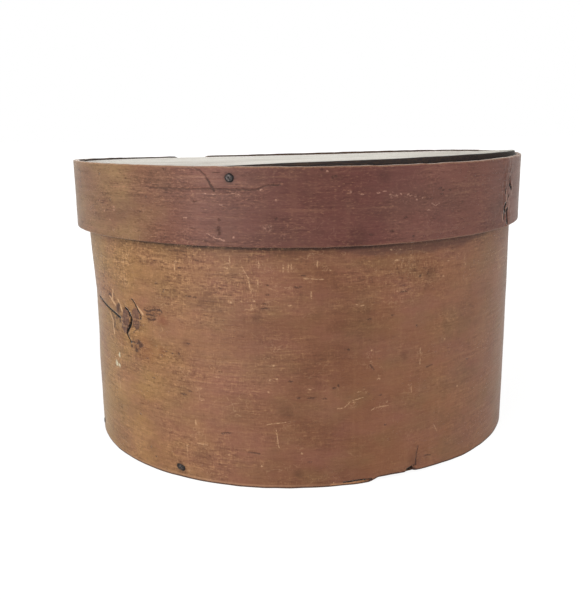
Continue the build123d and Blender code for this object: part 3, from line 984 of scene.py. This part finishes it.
def knotted(face, marks):
    """A knot: rings of reddish grain, red clouds, rough torn spots, dark threads and its dark hearts. The
    stain near it has duller and lighter clouds."""
    finish = face.finish
    knot_size = 15
    centre = face.on_strip((marks["knot"],))[0]
    offset = finish.vector("SUBTRACT", face.ragged, (*centre, 0))
    scaled = finish.vector("MULTIPLY", offset, (1 / knot_size, 1 / knot_size, 0))
    away = finish.vector("LENGTH", scaled, out=1)
    rings = (away * 30 + face.broken * 9).sine()
    face.tint(finish.fade(away, 1.15, 0.35) * finish.fade(rings, 0.3, 1.0) * 0.45, "rust tint")
    face.tint(face.spots(marks["red clouds"]) * 0.6, "rust tint")
    rough = finish.fade(face.spots(marks["rough"]) + face.broken * 1.6 - 0.8, 0.1, 0.6)
    face.tint(rough * 0.22, "rust tint")
    torn = finish.noise(face.ragged, (3.1, 1.6, 1), face.seed + 35, 3, 0.7)
    face.cover(finish.squiggles(torn, 0.05, 0.015) * rough * 0.75, "rust")
    threads = finish.fade(face.lines(marks["knot threads"]) + face.broken * 0.6 - 0.3, 0.8, 0.2)
    face.cover(threads * 0.85, "rust")
    for points, width, strength in marks["hearts"]:
        heart = finish.fade(face.line(points), width, width - 1.1)
        face.cover(heart * strength, "heart")
    face.tint(face.spots(marks["dull clouds"]) * 0.32, "dark tint")
    face.cover(face.spots(marks["light clouds"]) * 0.2, "light")


def still_covered(face, level, lid_edge):
    """The dark first stain, kept and less worn where the lid has shielded it. Its edge hangs lower at the
    right. Under the lid's lower edge lie a soft band of painted shade and a thin line of painted shadow."""
    finish = face.finish
    ragged_edge = face.height + finish.noise(face.flat, (10, 4, 4), face.seed + 7, 4, 0.65) * 8 - 4
    right_side = finish.fade(face.bearing, -4, 17) * finish.fade(face.bearing, 66, 34)
    covered = finish.fade(ragged_edge + right_side * 8.3, level - 1.8, level + 1.8)
    face.cover(covered * 0.72, "covered")
    face.worn = face.worn * (1 - 0.55 * covered)

    # The painted shadow line follows the warp of the lid's lower edge, under a soft band of painted shade
    turn = face.bearing * (pi / 180)
    twice = turn * 2
    saddle = twice.cosine() * lid_saddle_cosine + twice.sine() * lid_saddle_sine
    over_edge = face.height - turn.sine() * lid_tip + saddle - (lid_edge - 1.9)
    # Painted shade: a soft darker band below the lid's lower edge, not on the right side
    face.tint(finish.fade(over_edge, -9, 0) * (1 - right_side) * 0.42, "dark tint")
    # Painted shadow: a thin dark line just under the lid's lower edge
    shadow_line = finish.fade(over_edge + face.broken * 0.8 - 0.4, -0.7, 0.5) * finish.fade(over_edge, 5.5, 2.5)
    face.cover(shadow_line * (0.75 - 0.5 * finish.fade(face.bearing, 14, 26)), "grime")


def inside_wood(face):
    """Unfinished wood, browned by age and use, and darker beside the board as painted shade."""
    finish, wood, seed = face.finish, face.wood, face.seed
    streaks = finish.noise(wood, (40, 2.2, 2), seed + 40)
    coat = Coat(finish, face.tones, face.tones["inside light"])
    coat.cover(finish.fade(streaks, 0.35, 0.68), "inside dark")
    coat.cover(finish.patches(wood, (32, 24, 9), seed + 41) * 0.5, "dull")
    coat.tint(finish.patches(wood, (5, 0.7, 1), seed + 42) * 0.6, "grain tint")
    # Painted shade: the inside darkens towards the board, from about 17 mm away
    board_way = face.hoop.board_side(face.height) + finish.noise(wood, (9, 5, 5), seed + 43) * 6 - 3
    coat.cover(finish.fade(board_way, 17, 12.5) * 0.9, "grime")
    return coat.tone


def stained_strip(name, hoop, seed, zones, tones, marks):
    """The worn stain on a hoop's outside, partly painted light, its rubbed rims and its unfinished inside.
    """
    made, finish = material(name)
    face = Face(finish, tones, hoop, seed)
    # The tones by bearing hold painted light: lighter to the left, and a painted sheen near ±76
    zone_end = zones[-1][0]
    stops = [((bearing + zone_end) / (2 * zone_end), colour(*tone)) for bearing, tone in zones]
    drift = finish.noise(face.flat, (40, 30, 9), seed + 9) * 24 - 12
    face.tone = finish.ramp((face.bearing + drift + zone_end) / (2 * zone_end), stops)
    clouded(face)
    if "covered from" in marks:
        still_covered(face, marks["covered from"], marks["lid edge"])
    if "knot" in marks:
        knotted(face, marks)
    streaks, fibres, pores = grained(face, marks["grain"], marks["crossed"])
    scratches = scuffed(face, marks["scuffs"])
    dark_marks = marked(face, marks)

    # Rims rubbed to bare wood in places, less at the foot's left, and a foot that a sliver has left
    bare = finish.blend(finish.fade(fibres, 0.45, 0.7), tones["bare light"], tones["bare dark"])
    rim_way = face.above_foot.smaller(face.below_rim)
    kept = 1 - finish.fade(face.above_foot, 2, 1) * (1 - finish.fade(face.bearing, -20, 25) * 0.6)
    rubbed = finish.fade(rim_way + face.broken * 1.4 - 0.7, 0.85, 0.3) * kept
    face.cover(rubbed * marks["rubbed"], "rim")
    if "sliver" in marks:
        face.cover(finish.fade(face.line(marks["sliver"]), 1.2, 0.7) * 0.9, "bare light")
        above_edge = face.above_foot + face.broken * 0.6 - 0.3
        face.cover(finish.fade(above_edge, 2.3, 1.7) * finish.fade(face.bearing, 20, -10) * 0.4, "rim")
        # A thin dark line along the whole foot: painted shadow, with soiling
        face.cover(finish.fade(above_edge, 1.15, 0.75) * 0.8, "grime")

    # Bare wood at the strip's ends, unfinished wood inside, and cracks dark all the way in: soiling and
    # painted shade
    share = face.depth / float(hoop.thickness)
    within = finish.fade(share, 0.5, 0.85)
    cracked = finish.fade(face.cracks(marks["cracks"]), 0.62, 0.36) * (1 - within)
    face.cover(finish.fade(share, 0.15, 0.3), bare)
    face.cover(within, inside_wood(face))
    face.cover(cracked, "crack")
    bump = 0.12 * fibres + 0.14 * streaks - 0.13 * pores - 0.07 * scratches
    bump = bump - 0.16 * dark_marks - 0.5 * cracked
    finish.finish_with(
        Base_Color=face.tone,
        Roughness=0.44 + 0.2 * streaks + 0.2 * scratches + 0.15 * within,
        Normal=finish.bump(bump),
        Specular_IOR_Level=0.32,
        Sheen_Weight=0.55,
        Sheen_Roughness=0.25,
        Sheen_Tint=(1.0, 0.92, 0.84, 1),
    )
    return made


stain_tones = {
    "red": colour(126, 80, 65),
    "dull": colour(114, 86, 54),
    "light": colour(176, 134, 92),
    "dark tint": (0.62, 0.56, 0.52, 1),
    "grain tint": (0.52, 0.43, 0.38, 1),
    "rust tint": (0.72, 0.5, 0.42, 1),
    "rust": colour(58, 32, 23),
    "covered": colour(88, 55, 45),
    "heart": colour(84, 54, 47),
    "scratch": colour(206, 168, 128),
    "crack": colour(22, 15, 14),
    "chalk": colour(186, 182, 158),
    # Soiling and painted shade: under the lid, round nails, at the foot and beside the boards
    "grime": colour(46, 26, 20),
    "rim": colour(158, 120, 92),
    "bare light": colour(158, 112, 76),
    "bare dark": colour(118, 78, 52),
    "inside light": colour(176, 138, 96),
    "inside dark": colour(134, 98, 64),
}
# The stain's tones, with painted light: lighter to the left, a paler, greyer painted sheen near ±76
base_zones = (
    (-200, (128, 88, 60)),
    (-96, (134, 96, 62)),
    (-76, (140, 111, 71)),
    (-60, (138, 106, 65)),
    (-40, (137, 101, 60)),
    (-16, (124, 83, 59)),
    (4, (102, 62, 41)),
    (34, (134, 88, 59)),
    (60, (139, 95, 70)),
    (76, (142, 106, 85)),
    (96, (132, 92, 66)),
    (200, (128, 88, 60)),
)
base_stain = stained_strip("worn_brown_stain", base, 3, base_zones, stain_tones, base_marks)

lid_tones = dict(
    stain_tones,
    red=colour(98, 58, 50),
    dull=colour(88, 58, 46),
    light=colour(150, 108, 82),
    scratch=colour(190, 146, 124),
)
# The lid stain's tones, with painted light: lighter to the left, a painted sheen near ±76
lid_zones = (
    (-200, (104, 67, 55)),
    (-96, (114, 78, 60)),
    (-76, (119, 91, 63)),
    (-40, (128, 99, 67)),
    (-28, (102, 61, 45)),
    (-18, (110, 69, 58)),
    (-2, (79, 42, 35)),
    (18, (94, 51, 44)),
    (32, (113, 69, 58)),
    (60, (115, 67, 52)),
    (76, (117, 73, 64)),
    (96, (108, 68, 56)),
    (200, (104, 67, 55)),
)
lid_stain = stained_strip("worn_reddish_stain", lid, 5, lid_zones, lid_tones, lid_marks)


def board_finish(name, radius, seed, tones):
    """An old board: grain and figure along X, scratches, an edge darkened by soiling and painted shade,
    and a darker, rougher far right.
    """
    made, finish = material(name)
    coat = Coat(finish, tones, tones["light"])
    wood = finish.add("Attribute", {"attribute_name": "wood"}, None, 1)
    warp = finish.noise(wood, (240, 90, 60), seed + 5, 2)
    grown = finish.vector("ADD", wood, finish.add("CombineXYZ", None, {1: warp * 30}))
    figure = finish.noise(grown, (900, 5.2, 14), seed + 6, 4, 0.66)
    lines = finish.noise(grown, (330, 1.25, 5), seed + 7, 3, 0.6)
    fine = finish.noise(wood, (12, 0.8, 0.8), seed, 3, 0.6)
    streaks = finish.noise(wood, (110, 3.4, 3), seed + 1)
    pores = finish.patches(wood, (5, 0.5, 0.6), seed + 2, 0.64, 0.75)
    spots = finish.patches(wood, (34, 26, 30), seed + 3, 0.42, 0.76)
    coat.cover(finish.fade(figure, 0.36, 0.64), "middle")
    coat.cover(finish.fade(lines, 0.48, 0.68) * 0.62, "dark")
    coat.cover(finish.fade(streaks, 0.48, 0.72) * 0.35, "dark")
    coat.tint(finish.fade(fine, 0.5, 0.72) * 0.5, "grain tint")
    coat.tint(pores * 0.6, "grain tint")
    coat.cover(spots * 0.45, "dark")

    # Scratches, then the edge: soiling and painted shade beside the hoop, and the board's side
    upright = finish.patches(wood, (0.6, 16, 9), seed + 20, 0.66, 0.8)
    slanting = finish.patches(finish.turned(wood, 0.9), (22, 0.6, 9), seed + 21, 0.68, 0.82)
    scratches = upright.larger(slanting) * finish.patches(wood, (50, 40, 30), seed + 23, 0.45, 0.65)
    coat.cover(scratches * 0.4, "scratch")
    out = finish.vector("LENGTH", finish.vector("MULTIPLY", wood, (1, 1, 0)), out=1)
    grime = finish.fade(out + finish.noise(wood, (14, 14, 9), seed + 4) * 12 - 6, radius - 9, radius - 1)
    coat.cover(grime * 0.45, "grime")
    far_right = finish.fade(finish.part(wood, "X"), 0.3 * radius, radius)
    coat.tint(far_right * 0.6, "grain tint")
    side = finish.fade(out, radius - 1.0, radius - 0.5)
    coat.cover(side, finish.blend(finish.fade(fine, 0.4, 0.65), tones["side"], tones["grime"]))
    finish.finish_with(
        Base_Color=coat.tone,
        Roughness=0.24 + 0.1 * streaks + 0.15 * scratches + 0.1 * spots + 0.25 * far_right + 0.5 * side,
        Normal=finish.bump(0.04 * fine + 0.06 * streaks - 0.04 * lines - 0.06 * pores - 0.03 * scratches),
        Specular_IOR_Level=0.5,
        Specular_Tint=(0.97, 1.0, 0.93, 1),
        Sheen_Weight=0.4,
        Sheen_Roughness=0.22,
        Sheen_Tint=(0.97, 1.0, 0.93, 1),
    )
    return made


base_board_radius = corners("base_board")[1][0]
base_board_top = corners("base_board")[1][2]
lid_board_radius = corners("lid_board")[1][0]
board_tones = {
    "light": colour(160, 132, 98),
    "middle": colour(136, 108, 78),
    "dark": colour(98, 74, 54),
    "grime": colour(52, 36, 28),
    "grain tint": (0.6, 0.52, 0.46, 1),
    "scratch": colour(200, 172, 136),
    "side": colour(104, 76, 54),
}
# The lid board's side is near black: dirty end grain, and painted shade
lid_board_tones = dict(board_tones, side=colour(32, 22, 24))
lid_board_wood = board_finish("worn_top_board", lid_board_radius, 31, lid_board_tones)
base_board_wood = board_finish("plain_bottom_board", base_board_radius, 61, board_tones)


def hammered_iron(name, tones, seed):
    """Dark hammered iron, rusted in its hollows; each head's middle is lighter, rubbed and a painted
    highlight.
    """
    made, finish = material(name)
    coat = Coat(finish, tones, tones["iron"])
    place = finish.add("Attribute", {"attribute_name": "wood"}, None, 1)
    pitted = finish.noise(place, (1.1, 1.1, 1.1), seed, 4, 0.7)
    rust = finish.patches(place, (1.2, 1.2, 1.2), seed + 1, 0.5, 0.66)
    out = finish.vector("LENGTH", finish.vector("MULTIPLY", place, (1, 1, 0)), out=1)
    # Painted highlight, with rubbing: each head lighter towards its middle
    rubbed = finish.fade(out + pitted * 1.2 - 0.6, 1.8, 1.15)
    coat.cover(rust * 0.5, "rust")
    coat.cover(rubbed * finish.fade(pitted, 0.42, 0.58) * 0.7, "rubbed")
    finish.finish_with(
        Base_Color=coat.tone,
        Roughness=0.5 + 0.3 * rust - 0.1 * rubbed,
        Metallic=0.6 - 0.5 * rust,
        Normal=finish.bump(pitted, 0.15),
    )
    return made


nail_tones = {"iron": colour(33, 29, 29), "rust": colour(52, 34, 28), "rubbed": colour(98, 90, 88)}
tack_tones = dict(nail_tones, iron=colour(40, 36, 36), rust=colour(86, 52, 36))
nail_iron = hammered_iron("dark_nail_iron", nail_tones, 71)
tack_iron = hammered_iron("rusty_tack_iron", tack_tones, 81)

# Hoops. Each is finer at the front, and finest at its marks.
base_bearings = spaced(
    base.start, base.end, 1.5,
    ((-96, 96, 0.8), (-66, -37, 0.22), (4, 31, 0.45), (16, 17.2, 0.12), (base.end - 3, base.end, 0.5)),
)
base_rows = spaced(0, base.rim, 1.9, ((0, 5, 0.45), (5, 18, 1.2), (66, 97, 0.52)))
base_section = strip_section(base_rows / base.rim, np.linspace(0, 1, 12))
base_form = bent_strip(base, base_bearings, base_section, base_relief, base_rim_loss, base_foot_loss, 0.45)
piece("base_hoop", base_form, "base", "base_band", base_stain)

lid_bearings = spaced(
    lid.start, lid.end, 1.5,
    ((-96, 96, 0.5), (54, 62, 0.25), (208, 224, 0.4), (-152, -135, 0.4), (lid.end - 3, lid.end, 0.5)),
)
lid_rows = spaced(0, lid.rim - lid.foot, 0.95)
lid_section = strip_section(lid_rows / lid_rows[-1], np.linspace(0, 1, 9))
lid_form = bent_strip(lid, lid_bearings, lid_section, lid_relief, lid_rim_loss, lid_foot_loss, 0.5)
piece("lid_hoop", lid_form, "lid", "lid_band", lid_stain)


# Boards
def base_board_upper(x, y):
    """The bottom board's top, a little hollow."""
    return base_board_top + 0.15 * uneven(x / 60, y / 11, 41) - 0.3 * (x**2 + y**2) / base_board_radius**2


def base_board_lower(x, y):
    return 0.15 + 0.1 * uneven(x / 60, y / 11, 42)


def lid_board_upper(x, y):
    """The lid board has cupped and sits crooked: it stands proud of the rim at the front and right, with
    a dip at the front left and a sunk place by the hoop at the right."""
    right, front = x / lid_board_radius, -y / lid_board_radius
    warped = 1.9 * right + 1.6 * front + 0.81 * (right**2 - front**2) + 0.36 * right * front
    dipped = 0.95 * np.exp(-(((right + 0.33) / 0.2) ** 2)) * between(front, 0.4, 0.95)
    out = np.hypot(right, front)
    to_right = (0.97 * right - 0.24 * front) / np.maximum(out, 0.01)
    sunk = 1.1 * between(to_right, 0.94, 0.99) * between(out, 0.8, 0.97)
    return lid.rim + warped - dipped - sunk + 0.12 * uneven(x / 80, y / 9, 43)


def lid_board_lower(x, y):
    """The underside is flat, and rests on the base's rim at its lowest side."""
    middle = lid.rim + lid_board_rise - lid_board_thickness
    return middle + tan(radians(lid_board_tilt_right)) * x - tan(radians(lid_board_tilt_front)) * y


base_disc = turned_board(base_board_radius, base_board_upper, base_board_lower, 0.6, 2.6, 300, base_shift)
piece("base_board_wood_disc", base_disc, "base", "base_board", base_board_wood)
lid_disc = turned_board(lid_board_radius, lid_board_upper, lid_board_lower, 0.8, 2.2, 400)
piece("lid_board_wood_disc", lid_disc, "lid", "lid_board", lid_board_wood)

# Iron. The nails low on the base are hammered flatter than the others.
iron = (
    ("base_nails", base, "base", "base_board_nails", base_relief, False, 0.3, "nail_iron", nail_iron),
    ("lid_nails", lid, "lid", "lid_board_nails", lid_relief, False, 0.03, "nail_iron", nail_iron),
    ("base_tacks", base, "base", "base_lap_tacks", base_relief, True, 0.05, "tack_iron", tack_iron),
    ("lid_tacks", lid, "lid", "lid_lap_tacks", lid_relief, True, 0.05, "tack_iron", tack_iron),
)
for name, hoop, body, node, relief, clinched, flattened, slot, finish in iron:
    piece(name, driven(hoop, node, relief, clinched, flattened), body, node, finish)

# Floor, light and camera. The floor's own lengths are in metres.
floor_reach = 30.0
floor_corners = [(-floor_reach, -floor_reach, 0), (floor_reach, -floor_reach, 0)]
floor_corners += [(floor_reach, floor_reach, 0), (-floor_reach, floor_reach, 0)]
floor_mesh = bpy.data.meshes.new("floor")
floor_mesh.from_pydata(floor_corners, [], [(0, 1, 2, 3)])
floor = bpy.data.objects.new("floor", floor_mesh)
bpy.context.scene.collection.objects.link(floor)

# The camera sees a glowing white floor, and the light that lands on the object sees plain paper
pale_floor, floor_finish = material("pale_floor")
seen_by_camera = floor_finish.add("LightPath", None, None, 0)
floor_place = floor_finish.add("TexCoord", None, None, 3)
far_off = floor_finish.fade(floor_finish.vector("LENGTH", floor_place, out=1), 0.25, 0.7)
paper = floor_finish.add("BsdfDiffuse", None, {"Color": (0.86, 0.86, 0.85, 1)})
glow = floor_finish.add("Emission", None, {"Color": (1, 1, 1, 1), "Strength": 1.12})
glowing = seen_by_camera * (0.82 + 0.18 * far_off)
floor_mix = floor_finish.add("MixShader", None, {0: glowing, 1: paper, 2: glow})
floor_finish.add("OutputMaterial", None, {"Surface": floor_mix})
floor_mesh.materials.append(pale_floor)

world = bpy.data.worlds.new("studio")
world.use_nodes = True
studio = Finish(world.node_tree)
ambient = 0.6
camera_ray = studio.add("LightPath", None, None, 0)
glossy_ray = studio.add("LightPath", None, None, 3)
through_ray = studio.add("LightPath", None, None, 6)
direction = studio.add("TexCoord", None, None, 0)
behind = studio.fade(studio.part(direction, "Y"), -0.3, 0.6)
seen = camera_ray.larger(through_ray).larger(glossy_ray * behind)
dim = ambient - glossy_ray * (ambient - 0.15)
backdrop = studio.add("Background", None, {"Color": (1, 1, 1, 1), "Strength": seen.larger(dim)})
studio.add("OutputWorld", None, {"Surface": backdrop})
bpy.context.scene.world = world


def soft_lamp(name, place, target, size, power, tint):
    """A square studio lamp that points at a target."""
    light = bpy.data.lights.new(name, "AREA")
    light.size = size * MM
    light.energy = power
    light.color = tint
    lamp = bpy.data.objects.new(name, light)
    lamp.location = Vector(place) * MM
    lamp.rotation_euler = (Vector(target) - Vector(place)).to_track_quat("-Z", "Y").to_euler()
    bpy.context.scene.collection.objects.link(lamp)


soft_lamp("window", (-1000, -1300, 620), (0, 0, 90), 1100, 24, (1.0, 0.98, 0.95))
soft_lamp("fill", (1300, -900, 500), (0, 0, 90), 1200, 6, (0.95, 0.97, 1.0))

# The camera stands just above the rim, close by. Its angles and its focal length were fitted to the
# outlines of both hoops in the photograph.
camera_place = Vector((-2.6, -505.0, 181.0)) * MM
pitch_down, turn_right, roll = 0.2117, -0.0036, -0.0128
focal_length = 45.9
sensor_width = 36.0
forward = Vector((sin(turn_right) * cos(pitch_down), cos(turn_right) * cos(pitch_down), -sin(pitch_down)))
level_right = Vector((cos(turn_right), -sin(turn_right), 0))
level_up = level_right.cross(forward)
camera_right = cos(roll) * level_right + sin(roll) * level_up
camera_up = cos(roll) * level_up - sin(roll) * level_right
lens = bpy.data.cameras.new("camera")
lens.sensor_width = sensor_width
lens.lens = focal_length
lens.clip_start = 0.01
camera = bpy.data.objects.new("camera", lens)
camera_turn = Matrix((camera_right, camera_up, -forward)).transposed().to_4x4()
camera.matrix_world = Matrix.Translation(camera_place) @ camera_turn
bpy.context.scene.collection.objects.link(camera)
bpy.context.scene.camera = camera
bpy.context.scene.view_settings.view_transform = "Standard"
